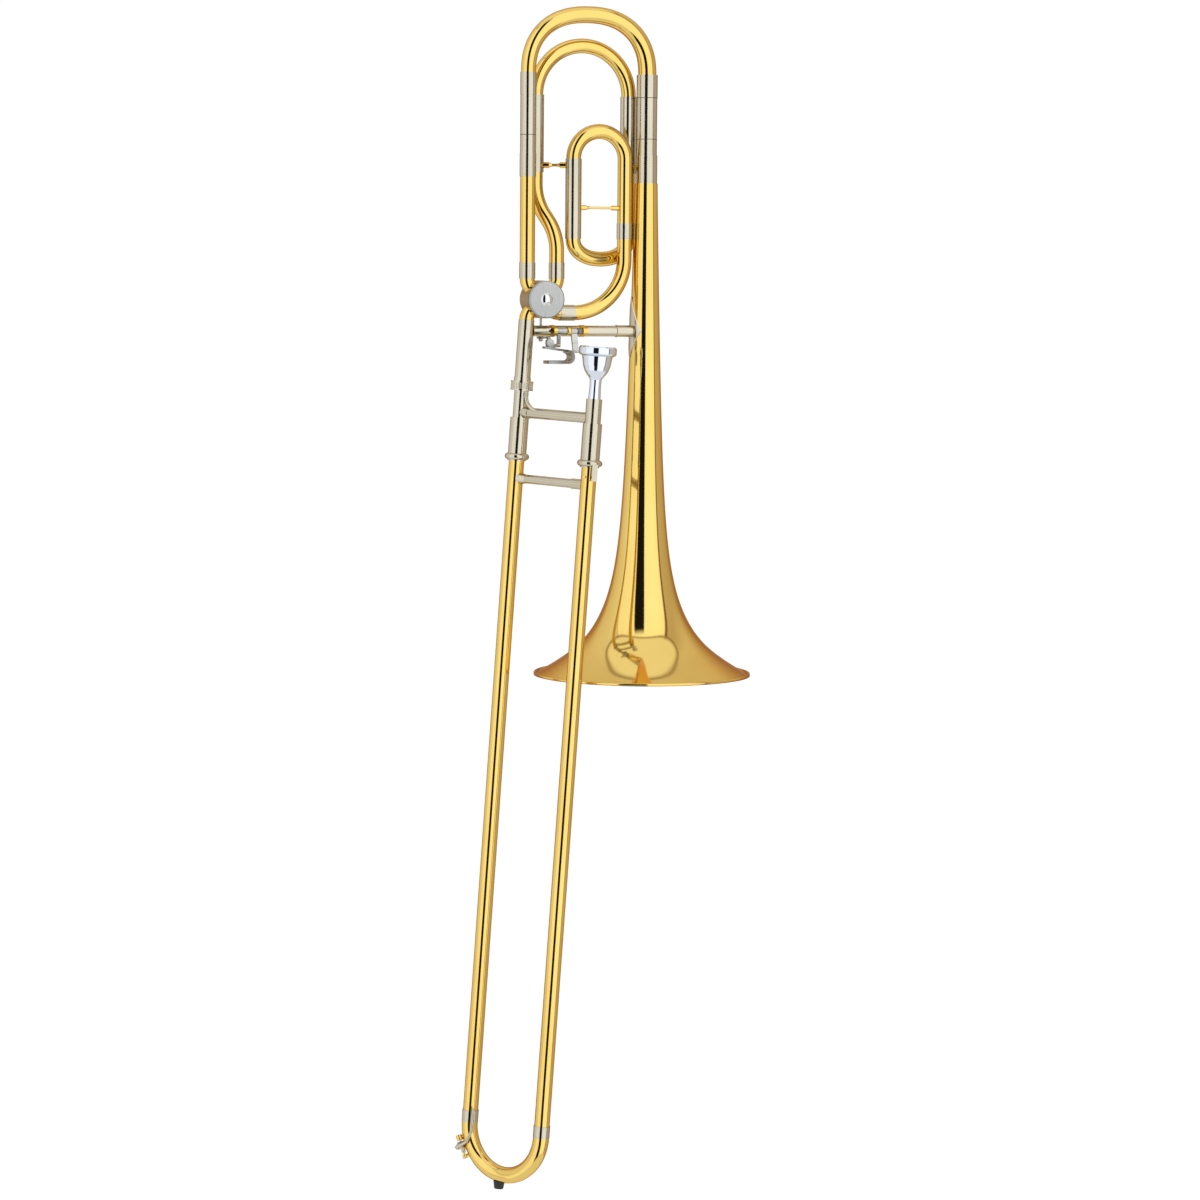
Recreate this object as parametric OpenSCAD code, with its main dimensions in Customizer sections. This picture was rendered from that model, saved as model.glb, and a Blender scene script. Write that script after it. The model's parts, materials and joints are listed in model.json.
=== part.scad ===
// Tenor trombone with an F attachment, held mouth down on a bell stand with the hand slide closed.
// Origin: centre of the bell mouth. +Z runs up the bell axis, away from the mouth.
// +X runs from the gooseneck to the bell tail, and +Y is the side of the F tuning slide.

/* [Bell] */
// Outside diameter of the bell mouth over its wire rim
bell_d = 220; // [205:1:230]
// Height of the bell tail's end above the mouth
bell_len = 496; // [490:1:500]
// Outside radius of the bell tail at its thin end
tail_r = 11.45; // [11.2:0.05:11.6]
// Thickness of the bell's sheet
bell_wall = 0.9; // [0.6:0.1:1.2]

/* [Main tuning bow] */
// Distance from the gooseneck's axis to the bell's axis
bow_span = 126; // [124:1:128]
// Height at which the straight legs turn into the main bow
bow_z = 604; // [600:1:608]
// Outside radius of the main bow where it meets the gooseneck side
bow_neck_r = 7.5; // [7.3:0.1:7.7]
// Outside radius of the main bow where it meets the bell side
bow_bell_r = 9.2; // [8.9:0.1:9.3]

/* [Valve] */
// Outside radius of the rotor casing
casing_r = 18.8; // [18.6:0.1:19]
// Half the length of the rotor casing
casing_h = 13; // [13:0.5:13.5]
// Distance from the rotor's axis to the axes of its four tubes
port_off = 15.5; // [15.4:0.1:15.6]
// Height of the rotor's axis
valve_z = 379.5; // [379:0.5:380]

/* [F wrap] */
// Distance of the F tuning slide behind the bell plane
f_back = 18; // [18:0.5:19]
// Outside radius of the brass tubes of the wrap
wrap_r = 7.4; // [7.3:0.05:7.5]
// Radius of the bore of the wrap and the gooseneck
bore_r = 6.95; // [6.8:0.05:6.95]

/* [Hand slide] */
// Distance between the two slide tubes
slide_w = 92; // [90:1:94]
// Lean of the slide away from the bell axis, in degrees
slide_tilt = 3.9; // [3.7:0.1:4.2]
// Turn of the slide about its long tube, in degrees from the bell plane
slide_turn = 57.8; // [56:0.2:90]
// Outside radius of the inner slide tubes
inner_r = 7.2; // [7.15:0.05:7.2]
// Outside radius of the outer slide tubes
outer_r = 7.75; // [7.7:0.05:7.8]

/* [Mouthpiece] */
// Outside diameter of the mouthpiece rim
mouth_d = 37.5; // [36:0.5:39.5]

/* [Hidden] */
$fn = 96;

brass = [0.86, 0.68, 0.26];
nickel = [0.80, 0.78, 0.70];
silver = [0.88, 0.89, 0.92];
rubber = [0.05, 0.05, 0.05];
cork = [0.76, 0.60, 0.42];

fit = 0.05;                 // radial clearance of a running fit
nickel_r = 7.9;             // outside of the ferrules and sleeves of the wrap
neck_x = -bow_span;
valve_x = neck_x + port_off;
f_port_x = valve_x + port_off;
f_port_z = valve_z - port_off;
low_port_off = 13.2;        // the wrap's lower port sits a little closer in
f_low_z = valve_z - low_port_off;
bow_h = bow_span / 2 - 5;   // the main bow is slightly flattened
bow_power = 2.3;

// Heights up the gooseneck and the main tuning slide
ferrule_z = valve_z + 20.5;
ferrule_h = 16;
neck_top_z = 501;
split_z = 581.6;            // the main tuning slide parts from the bell section here
split_gap = 0.4;            // gap that shows where a tuning slide is pushed home
seam_z = 524;
leg_end_z = 516;            // lowest point of the slide's inner legs
bell_leg_r = 10.35;
bell_inner_r = 9.5;

// Places of the F wrap's upright tubes
f_left_x = neck_x + 14.2;
f_right_x = -13;
f_bow_z = 582.8;
f_split_z = 572;
f_leg_low_z = 506;
f_leg_r = 8.25;
f_inner_r = 7.5;
loop_left_x = -77.8;
loop_right_x = -23;
loop_top_z = 519.5;
loop_low_z = 440;
bottom_h = 20;              // depth of the bottom bow
port_end_x = valve_x + 34.2; // free end of the lower port's ferrule
quarter_r = loop_right_x - port_end_x;

// Bell brace and thumb lever
brace_z = 348.1;
brace_r = 5.4;
hinge_y = -10;
lever_swing = 25;
plate_arm_x = -83;          // left face of the lever's drop arm
plate_bar_z = 328.2;
plate_z = 317.5;
screw_x = -108.9;
screw_z = 336.7;
link_arm = 10;              // radius of the rotor arm's pin
lever_arm = link_arm * sin(45) / sin(lever_swing / 2);
link_y = 22.3;
link_x = valve_x + link_arm * cos(45);
link_top_z = valve_z - link_arm * sin(45);
link_low_z = brace_z - link_arm * sin(45);

// Stations down the hand slide, measured from the valve end of its axis
nut_s = 64;
tenon_s = 34;
receiver_r = 7.9;           // outside radius of the slide receiver
bar_s = 97;
barrel_s = 102.2;
barrel_end_s = 145.5;
ring_s = 141.2;
outer_top_s = 127;
low_bar_s = 162.8;
mouth_s = 78;
long_barrel_r = 9.25;
short_barrel_r = 9.5;
bead_r = 3.1;               // bead of the rings at the barrels' feet
stud_s = 154.9;             // the stud that the slide lock's hook catches
stud_turn = -80;
hook_turn = -25;
inner_end_s = 797;
bow_s = 814;
bow_r = slide_w / 2;
bow_wall_r = 8.1;
key_turn = slide_turn - 20; // the water key sits this far round the long tube

// ---------------------------------------------------------------- helpers

// A straight tube of length h along +Z
module tube(r, bore, h) {
    difference() {
        cylinder(r = r, h = h);
        translate([0, 0, -1]) cylinder(r = bore, h = h + 2);
    }
}

// A bent tube that starts at the origin towards +Z and turns towards +X
module bend(turn_r, angle, r, bore) {
    translate([turn_r, 0, 0]) rotate([90, 0, 0]) rotate([0, 0, 180 - angle])
        rotate_extrude(angle = angle) translate([turn_r, 0]) difference() {
            circle(r = r);
            circle(r = bore);
        }
}

// The same bend as a solid bar
module bar_bend(turn_r, angle, r) {
    translate([turn_r, 0, 0]) rotate([90, 0, 0]) rotate([0, 0, 180 - angle])
        rotate_extrude(angle = angle) translate([turn_r, 0]) circle(r = r);
}

// Moves to the far end of a bend
module after_bend(turn_r, angle) {
    translate([turn_r * (1 - cos(angle)), 0, turn_r * sin(angle)])
        rotate([0, angle, 0]) children();
}

// A round rod between two points
module rod(a, b, r) {
    d = b - a;
    translate(a) rotate([0, acos(d[2] / norm(d)), atan2(d[1], d[0])])
        cylinder(r = r, h = norm(d));
}

// A tube through a row of rings in the plane of X and Z. Each ring has a centre, a direction and a radius
module swept_tube(rings, wall) {
    sides = 32;
    last = len(rings) - 1;
    skin = len(rings) * sides;
    function at(ring, j, r) = ring[0] + r * cos(360 * j / sides) * ring[1] + [0, r * sin(360 * j / sides), 0];
    function p(i, j) = i * sides + j % sides;
    points = concat(
        [for (ring = rings, j = [0 : sides - 1]) at(ring, j, ring[2])],
        [for (ring = rings, j = [0 : sides - 1]) at(ring, j, ring[2] - wall)]);
    polyhedron(points, concat(
        [for (i = [0 : last - 1], j = [0 : sides - 1]) [p(i, j), p(i, j + 1), p(i + 1, j + 1), p(i + 1, j)]],
        [for (i = [0 : last - 1], j = [0 : sides - 1])
            [skin + p(i, j), skin + p(i + 1, j), skin + p(i + 1, j + 1), skin + p(i, j + 1)]],
        [for (j = [0 : sides - 1]) [p(0, j), skin + p(0, j), skin + p(0, j + 1), p(0, j + 1)]],
        [for (j = [0 : sides - 1]) [p(last, j), p(last, j + 1), skin + p(last, j + 1), skin + p(last, j)]]));
}

// A point of a flattened bow and the way out of it: half an oval, w to each side and h high
function oval_ring(a, w, h, power) =
    let (x = sign(cos(a)) * pow(abs(cos(a)), 2 / power),
         z = pow(abs(sin(a)), 2 / power),
         out = [sign(x) * pow(abs(x), power - 1) / w, 0, pow(z, power - 1) / h])
    [[w * x, 0, h * z], out / norm(out)];

// A chain of round rods that run a little past their joints, for bent levers
module wire(points, r) {
    for (i = [0 : len(points) - 2]) {
        past = (points[i + 1] - points[i]) / norm(points[i + 1] - points[i]) * r * 0.6;
        rod(points[i] - past, points[i + 1] + past, r);
    }
}

// Points of a flat arc about c
function arc(c, r, from, to, steps) =
    [for (i = [0 : steps]) let (a = from + (to - from) * i / steps) c + r * [cos(a), sin(a)]];

// A bar between two points of a flat outline, with a slightly wider round eye at each end
module bar2d(a, b, w) {
    d = b - a;
    eye_w = w + 0.5;
    translate(a) rotate(atan2(d[1], d[0])) translate([0, -w / 2]) square([norm(d), w]);
    translate(a) circle(d = eye_w);
    translate(b) circle(d = eye_w);
}

// Turns an outline in Y and Z into a plate from x = from_x, len_x thick
module plate_x(from_x, len_x) {
    translate([from_x, 0, 0]) rotate([90, 0, 90]) linear_extrude(len_x) children();
}

// Turns an outline in X and Z into a plate from y = from_y, len_y thick
module plate_y(from_y, len_y) {
    translate([0, from_y + len_y, 0]) rotate([90, 0, 0]) linear_extrude(len_y) children();
}

// The frame of the hand slide: its long tube is the Z axis, and the short tube is at x = slide_w
module slide_frame() {
    translate([neck_x, 0, f_port_z]) rotate([0, slide_tilt, 0]) rotate([0, 0, -slide_turn])
        children();
}

// A place at station s down the slide, x across it
module at_s(s, x = 0) {
    translate([x, 0, -s]) children();
}

// A tube of the hand slide from station s1 down to s2
module slide_tube(s1, s2, r, bore, x = 0) {
    at_s(s2, x) tube(r, bore, s2 - s1);
}

// A tube that enters the rotor casing: turns by angle from the casing's radius
module knuckle(direction, angle, way, off = port_off) {
    reach = off * sqrt(2);
    turn_r = 12;
    start = reach - turn_r * tan(angle / 2);
    rotate([0, -direction, 0]) rotate([0, 90, 0]) difference() {
        translate([0, 0, start]) rotate([0, 0, way]) bar_bend(turn_r, angle, wrap_r);
        translate([0, 0, start]) rotate([0, 0, way]) {
            bar_bend(turn_r, angle, bore_r);
            translate([0, 0, -1]) cylinder(r = bore_r, h = 1);
            after_bend(turn_r, angle) cylinder(r = bore_r, h = 1);
        }
        rotate([90, 0, 0]) translate([0, 0, -casing_h - 1]) cylinder(r = casing_r, h = 2 * casing_h + 2);
    }
}

module at_valve() {
    translate([valve_x, 0, valve_z]) children();
}

// ---------------------------------------------------------------- bell section

// Outside radius of the bell at height z: a slow cone, a horn flare and a slight swell above the lip
cone_grow = 2.15;
cone_power = 1.14;
lip_swell = 2.2;
function cone_r(z) = tail_r + cone_grow * pow(max(bell_len - z, 0) / 100, cone_power);
function swell(z) = lip_swell * exp(-pow((z - 12) / 9, 2));
function bell_r(z) = cone_r(z) + swell(z) + (bell_d / 2 - cone_r(0) - swell(0)) * pow(1 + z / 400, -10);

// Heights of the bell's outline, close together near the mouth
bell_steps = 44;
bell_seam = 26;
function bell_z(i) = bell_len * pow(i / bell_steps, 2.6);
function bell_slope(z) = (bell_r(z + 0.05) - bell_r(max(z - 0.05, 0))) / (z > 0.05 ? 0.1 : z + 0.05);
function bell_in(z) =
    let (m = bell_slope(z), n = sqrt(1 + m * m))
    [bell_r(z) - bell_wall / n, z + bell_wall * m / n];

// The part of the bell's sheet from one step of the outline to another
module bell_part(from, to) {
    outside = [for (i = [from : to]) [bell_r(bell_z(i)), bell_z(i)]];
    inside = [for (i = [to : -1 : max(from, 1)]) if (bell_in(bell_z(i))[1] > 0.2) bell_in(bell_z(i))];
    lip = from == 0 ? [[bell_r(0) - 2.6, 0]] : [];
    color(brass) rotate_extrude($fn = 180) polygon(concat(outside, inside, lip));
}

// The spun flare
module bell() {
    bell_part(0, bell_seam);
}

// The drawn stem, joined flush to the flare
module bell_stem() {
    bell_part(bell_seam, bell_steps);
}

module bell_rim() {
    bead_r = 1.5;
    color(brass) rotate_extrude($fn = 180) translate([bell_d / 2 - bead_r, bead_r])
        circle(r = bead_r, $fn = 40);
}

module bell_leg() {
    color(nickel) translate([0, 0, seam_z]) tube(bell_leg_r, bell_inner_r + fit, split_z - split_gap - seam_z);
}

// Ferrule between the bell's tail and the leg, with a spigot inside the tail
module bell_ferrule() {
    spigot_h = 8;
    color(nickel) difference() {
        union() {
            translate([0, 0, bell_len]) cylinder(r = bell_leg_r + 0.55, h = seam_z - bell_len);
            translate([0, 0, bell_len - spigot_h]) cylinder(r = tail_r - bell_wall - 0.05, h = spigot_h + 1);
        }
        translate([0, 0, bell_len - spigot_h - 1]) cylinder(r = bell_inner_r + fit, h = 60);
    }
}

module gooseneck() {
    color(brass) translate([neck_x, 0, ferrule_z + ferrule_h])
        tube(7.6, bore_r, neck_top_z - ferrule_z - ferrule_h);
}

module neck_leg() {
    color(nickel) translate([neck_x, 0, seam_z]) tube(7.95, 7.4, split_z - split_gap - seam_z);
}

module neck_upper_ferrule() {
    color(nickel) translate([neck_x, 0, neck_top_z]) tube(8.25, 7.4, seam_z - neck_top_z);
}

module neck_lower_ferrule() {
    color(nickel) translate([neck_x, 0, ferrule_z]) tube(8.1, bore_r, ferrule_h);
}

module rotor_casing() {
    rotor_room = casing_r - 1.8;
    color(nickel) at_valve() difference() {
        union() {
            rotate([90, 0, 0]) translate([0, 0, -casing_h]) cylinder(r = casing_r, h = 2 * casing_h);
            rotate([-90, 0, 0]) cylinder(r = 6, h = casing_h + 1.4);
        }
        rotate([90, 0, 0]) translate([0, 0, 1.5 - casing_h]) cylinder(r = rotor_room, h = 2 * casing_h);
        rotate([-90, 0, 0]) cylinder(r = 3 + fit, h = casing_h + 5);
        for (a = [45 : 90 : 315])
            rotate([0, -a, 0]) rotate([0, 90, 0]) translate([0, 0, rotor_room - 3]) cylinder(r = bore_r, h = 6);
    }
}

module valve_bearing_plate() {
    color(brass) at_valve() rotate([90, 0, 0]) translate([0, 0, casing_h - 2])
        tube(casing_r - 1.82, 3 + fit, 2);
}

module valve_cap() {
    hub_r = 6.1;
    hub_h = 2.4;
    dome_r = (hub_r * hub_r + hub_h * hub_h) / (2 * hub_h);
    face = casing_h + 3.6;
    color(silver) at_valve() rotate([90, 0, 0]) difference() {
        union() {
            translate([0, 0, casing_h]) cylinder(r = casing_r - 0.2, h = 2.6);
            translate([0, 0, casing_h + 2.6]) cylinder(r1 = casing_r - 0.2, r2 = casing_r - 1.4, h = 1);
            intersection() {
                translate([0, 0, face + hub_h - dome_r]) sphere(r = dome_r);
                translate([0, 0, face - 0.5]) cylinder(r = hub_r, h = 4);
            }
        }
        translate([0, 0, casing_h - 1]) cylinder(r = 3 + fit, h = 2.8);
    }
}

// Two corks on studs that stop the rotor's arm a quarter turn apart
module stop_corks() {
    for (a = [91.5, 268.5]) at_valve() rotate([0, -a, 0]) translate([13.5, casing_h, 0]) rotate([-90, 0, 0]) {
        color(cork) translate([0, 0, 1.2]) cylinder(r = 3.2, h = 4);
        color(brass) cylinder(r = 4.2, h = 1.2);
    }
}

module neck_knuckle() {
    color(brass) at_valve() knuckle(135, 45, 0);
}

module slide_knuckle() {
    color(brass) at_valve() knuckle(225, 45 - slide_tilt, 180);
}

module f_upper_knuckle() {
    color(brass) at_valve() knuckle(45, 45, 180);
}

module f_lower_knuckle() {
    color(brass) at_valve() knuckle(315, 45, 180, low_port_off);
}

module f_port_ferrules() {
    color(nickel) translate([f_port_x, 0, ferrule_z]) tube(nickel_r, bore_r, ferrule_h);
    color(nickel) translate([port_end_x - ferrule_h, 0, f_low_z])
        rotate([0, 90, 0]) tube(nickel_r, bore_r, ferrule_h);
}

// Swan-neck tube from the upper port up to the F slide, behind the gooseneck
module f_crook() {
    dx = f_left_x - f_port_x;
    low_z = ferrule_z + ferrule_h;
    turn = 36;
    middle = 8;
    steps = 8;
    turn_r = (norm([dx, f_back]) - middle * sin(turn)) / (2 - 2 * cos(turn));
    half_h = (f_leg_low_z - low_z) / 2;
    half_w = norm([dx, f_back]) / 2;
    straight = half_h - turn_r * sin(turn) - middle / 2 * cos(turn);
    low = concat([[0, 0, 0]],
        [for (i = [0 : steps]) let (a = turn * i / steps)
            [turn_r * (1 - cos(a)), straight + turn_r * sin(a), a]]);
    path = concat(low, [for (i = [len(low) - 1 : -1 : 0])
        [2 * half_w - low[i][0], 2 * half_h - low[i][1], low[i][2]]]);
    color(brass) translate([f_port_x, 0, low_z]) rotate([0, 0, atan2(f_back, dx)])
        swept_tube([for (p = path) [[p[0], 0, p[1]], [-cos(p[2]), 0, sin(p[2])], wrap_r]], wrap_r - bore_r);
}

module f_outer_legs() {
    for (x = [f_left_x, f_right_x])
        color(nickel) translate([x, f_back, f_leg_low_z])
            tube(f_leg_r, f_inner_r + fit, f_split_z - split_gap - f_leg_low_z);
}

module f_down_tube() {
    color(brass) translate([f_right_x, f_back, loop_low_z + ferrule_h])
        tube(wrap_r, bore_r, f_leg_low_z - loop_low_z - ferrule_h);
}

module loop_top_bow() {
    color(brass) translate([loop_left_x, 0, loop_top_z])
        bend((loop_right_x - loop_left_x) / 2, 180, wrap_r, bore_r);
}

module loop_sleeve() {
    color(nickel) translate([loop_left_x, 0, loop_low_z])
        tube(8.1, bore_r, loop_top_z - loop_low_z);
}

module loop_tube() {
    color(brass) translate([loop_right_x, 0, loop_low_z + ferrule_h])
        tube(wrap_r, bore_r, loop_top_z - loop_low_z - ferrule_h);
}

module loop_ferrules() {
    for (p = [[loop_right_x, 0], [f_right_x, f_back]])
        color(nickel) translate([p[0], p[1], loop_low_z]) tube(nickel_r, bore_r, ferrule_h);
}

// Flattened bow from the sleeve, under the loop, back to the F slide's right leg
module bottom_bow() {
    steps = 24;
    dx = f_right_x - loop_left_x;
    half = norm([dx, f_back]) / 2;
    color(brass) translate([loop_left_x, 0, loop_low_z]) rotate([0, 0, atan2(f_back, dx)]) mirror([0, 0, 1])
        swept_tube([for (i = [0 : steps]) let (o = oval_ring(180 - 180 * i / steps, half, bottom_h, 2.15))
            [o[0] + [half, 0, 0], o[1], wrap_r]], wrap_r - bore_r);
}

// Wide quarter bend from the loop's right tube to the lower port
module quarter_bow() {
    drop = loop_low_z - f_low_z - quarter_r;
    color(brass) translate([loop_right_x, 0, loop_low_z - drop]) {
        tube(wrap_r, bore_r, drop);
        mirror([0, 0, 1]) rotate([0, 0, 180]) bend(quarter_r, 90, wrap_r, bore_r);
    }
}

// A turned brace: a foot at each end and a thin waist
module turned_brace(a, b, foot_r, foot_h, waist_r) {
    d = b - a;
    translate(a) rotate([0, acos(d[2] / norm(d)), atan2(d[1], d[0])]) {
        cylinder(r = waist_r, h = norm(d));
        cylinder(r = foot_r, h = foot_h);
        translate([0, 0, foot_h]) cylinder(r1 = foot_r * 0.8, r2 = waist_r, h = foot_h * 0.5);
        translate([0, 0, norm(d) - foot_h]) cylinder(r = foot_r, h = foot_h);
        translate([0, 0, norm(d) - foot_h * 1.5]) cylinder(r1 = waist_r, r2 = foot_r * 0.8, h = foot_h * 0.5);
    }
}

// Point on a tube's wall on the way from one tube to another, at height z
function wall_point(from, to, r, z) =
    let (d = to - from, k = r / norm(d)) [from[0] + d[0] * k, from[1] + d[1] * k, z];

module wrap_braces() {
    f_left = [f_left_x, f_back];
    loop_left = [loop_left_x, 0];
    loop_right = [loop_right_x, 0];
    f_right = [f_right_x, f_back];
    tail = [0, 0];
    high_z = 513;
    mid_z = 471;
    color(brass) turned_brace(
        wall_point(f_left, loop_left, f_leg_r - 0.3, high_z),
        wall_point(loop_left, f_left, 7.55, high_z), 3, 6, 1.5);
    color(brass) turned_brace(
        wall_point(loop_left, loop_right, 7.55, mid_z),
        wall_point(loop_right, loop_left, wrap_r - 0.3, mid_z), 2.4, 6.5, 1.2);
    color(brass) turned_brace(
        wall_point(f_right, tail, f_leg_r - 0.3, high_z),
        wall_point(tail, f_right, bell_leg_r, high_z), 3, 1, 2);
    color(brass) turned_brace(
        wall_point(f_right, loop_right, f_leg_r - 0.3, high_z - 2),
        wall_point(loop_right, f_right, wrap_r - 0.3, high_z - 2), 3, 1.2, 2);
}

module slide_receiver() {
    color(nickel) slide_frame() {
        slide_tube(4.6, 26, receiver_r, bore_r);
        slide_tube(26, nut_s - 2, receiver_r, inner_r);
        slide_tube(nut_s - 2, nut_s + 7, 8.4, inner_r);
    }
}

module bell_brace() {
    left_x = -119.8;
    collar_x = -31.5;
    color(nickel) difference() {
        union() {
            translate([left_x, 0, brace_z]) rotate([0, 90, 0]) cylinder(r = brace_r, h = -left_x - 13.5);
            translate([collar_x, 0, brace_z]) rotate([0, 90, 0]) cylinder(r = brace_r + 0.5, h = 17.5);
            translate([collar_x, 0, brace_z]) rotate([0, 90, 0]) cylinder(r = brace_r + 0.8, h = 1.2);
        }
        slide_frame() at_s(60) cylinder(r = receiver_r, h = 60);
        translate([0, 0, brace_z - 10])
            cylinder(r1 = bell_r(brace_z - 10) + 0.6, r2 = bell_r(brace_z + 10) + 0.6, h = 20);
    }
}

// Diamond plate that wraps the bell's tail at the end of the brace
module bell_flange() {
    half_h = 30.5;
    steps = 6;
    plate_t = 1.1;
    zs = [for (i = [0 : steps]) brace_z + 4 - half_h - 1 + (2 * half_h + 2) * i / steps];
    shell = concat([for (z = zs) [bell_r(z) + 0.02, z]],
                   [for (i = [steps : -1 : 0]) [bell_r(zs[i]) + plate_t, zs[i]]]);
    tip_y = 12.6;
    color(nickel) intersection() {
        rotate_extrude() polygon(shell);
        plate_x(-20, 20) polygon([
            [0, brace_z + 4 - half_h], [tip_y, brace_z], [0, brace_z + 4 + half_h], [-tip_y, brace_z]]);
    }
}

// Two posts on the brace, with the pin that the thumb lever turns on
module lever_saddle() {
    pin_r = 1.6;
    color(brass) for (p = [[valve_x + 8.9, 3.8], [-70.6, 5]]) difference() {
        plate_x(p[0], p[1]) union() {
            bar2d([0, brace_z], [hinge_y, brace_z], 7.4);
            translate([0, brace_z]) circle(r = brace_r + 0.6);
        }
        translate([p[0] - 1, 0, brace_z]) rotate([0, 90, 0]) cylinder(r = brace_r, h = 7);
    }
    color(silver) translate([valve_x + 8.3, hinge_y, brace_z]) rotate([0, 90, 0])
        cylinder(r = pin_r, h = -66 - valve_x - 8.3);
}

// ---------------------------------------------------------------- tuning slides

// The main bow: its tube widens steadily from the gooseneck side to the bell side
module main_bow() {
    steps = 40;
    turn_r = bow_span / 2;
    color(brass) swept_tube([for (i = [0 : steps])
        let (o = oval_ring(180 - 180 * i / steps, turn_r, bow_h, bow_power)) [
        o[0] + [-turn_r, 0, bow_z], o[1],
        bow_neck_r + (bow_bell_r - bow_neck_r) * i / steps]], 0.8);
}

// The main slide's two legs, each with the ferrule that stops it on its sleeve
module main_slide_legs() {
    color(nickel) {
        translate([neck_x, 0, split_z]) tube(8.15, bore_r - 0.2, bow_z - split_z);
        translate([neck_x, 0, leg_end_z]) tube(7.4 - fit, bore_r - 0.2, split_z - leg_end_z);
        translate([0, 0, split_z]) tube(bell_leg_r + 0.25, 8.2, bow_z - split_z);
        translate([0, 0, leg_end_z]) tube(bell_inner_r, 8.6, split_z - leg_end_z);
    }
}

module f_bow() {
    color(brass) translate([f_left_x, f_back, f_bow_z])
        bend((f_right_x - f_left_x) / 2, 180, wrap_r - 0.1, bore_r);
}

module f_slide_legs() {
    leg_low = 512;
    for (x = [f_left_x, f_right_x]) color(nickel) {
        translate([x, f_back, f_split_z]) tube(f_leg_r, bore_r, f_bow_z - f_split_z);
        translate([x, f_back, leg_low]) tube(f_inner_r, bore_r, f_split_z - leg_low);
    }
}

// ---------------------------------------------------------------- rotary valve and its linkage

module rotor() {
    body_r = casing_r - 1.8 - 0.07;
    half = casing_h - 2.2;
    turn_r = body_r * tan(45) + 0.01;
    color(brass) at_valve() rotate([90, 0, 0]) {
        difference() {
            translate([0, 0, -half + 0.9]) cylinder(r = body_r, h = 2 * half - 1);
            for (s = [-1, 1])
                translate([s * body_r * sqrt(2), 0, 0]) rotate_extrude() translate([turn_r, 0])
                    circle(r = bore_r);
        }
        translate([0, 0, half - 0.2]) cylinder(r = 3, h = 3.6);
        translate([0, 0, -casing_h - 5.4]) cylinder(r = 3, h = casing_h + 5.4 - half + 1);
    }
}

// Arm on the rotor's stem: a stop wing on one side and the link's pin on the other
module stop_arm() {
    low_y = casing_h + 1.7;
    color(brass) at_valve() {
        difference() {
            plate_y(low_y, 3.4) union() {
                circle(r = 5.6);
                bar2d([0, 0], [link_arm * cos(-45), link_arm * sin(-45)], 5.4);
                bar2d([0, 0], [14 * cos(135), 14 * sin(135)], 6.4);
            }
            rotate([-90, 0, 0]) cylinder(r = 3, h = 40);
        }
        rotate([0, 45, 0]) translate([link_arm, low_y + 1, 0]) rotate([-90, 0, 0])
            cylinder(r = 1.3, h = link_y + 2.2 - low_y - 1);
        rotate([0, 45, 0]) translate([link_arm, link_y + 1.9, 0]) rotate([-90, 0, 0])
            cylinder(r = 2.3, h = 1.2);
    }
    color(silver) at_valve() rotate([-90, 0, 0]) translate([0, 0, casing_h + 5.4])
        cylinder(r = 4, h = 1.6);
}

// Push rod from the rotor's arm down to the thumb lever
module valve_link() {
    color(silver) difference() {
        union() {
            translate([link_x, link_y - 1.5, link_top_z]) rotate([-90, 0, 0]) cylinder(r = 3, h = 3);
            translate([link_x, link_y, link_low_z + 3]) cylinder(r = 1.3, h = link_top_z - link_low_z - 5.4);
            translate([link_x - 1.25, link_y, link_low_z]) rotate([0, 90, 0]) cylinder(r = 3.9, h = 2.5);
        }
        translate([link_x, link_y - 5, link_top_z]) rotate([-90, 0, 0]) cylinder(r = 1.3 + fit, h = 10);
        translate([link_x - 5, link_y, link_low_z]) rotate([0, 90, 0]) cylinder(r = 2.2, h = 10);
    }
}

// Thumb lever: a barrel on the hinge pin, an arm under the brace to the link and a drop arm in front
module thumb_lever() {
    barrel_x = valve_x + 13;
    tip = [hinge_y + lever_arm * cos(lever_swing / 2), link_low_z];
    heel = [hinge_y + 1, brace_z - 14];
    elbow = [hinge_y + 20, brace_z - 15.5];
    color(silver) difference() {
        union() {
            translate([barrel_x, hinge_y, brace_z]) rotate([0, 90, 0]) cylinder(r = 3.4, h = plate_arm_x + 6 - barrel_x);
            plate_x(barrel_x + 0.3, 3.2) union() {
                bar2d([hinge_y, brace_z], heel, 3.6);
                bar2d(heel, elbow, 3.3);
                bar2d(elbow, tip, 3);
            }
            translate([link_x - 4.2, tip[0], tip[1]]) rotate([0, 90, 0])
                cylinder(r = 1.1, h = barrel_x - link_x + 6);
            plate_x(plate_arm_x, 6) union() {
                bar2d([hinge_y, brace_z], [hinge_y - 4, 336], 2.8);
                bar2d([hinge_y - 4, 336], [hinge_y - 6, plate_bar_z], 2.5);
            }
        }
        translate([barrel_x - 5, hinge_y, brace_z]) rotate([0, 90, 0]) cylinder(r = 1.6 + fit, h = 30);
    }
}

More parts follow.
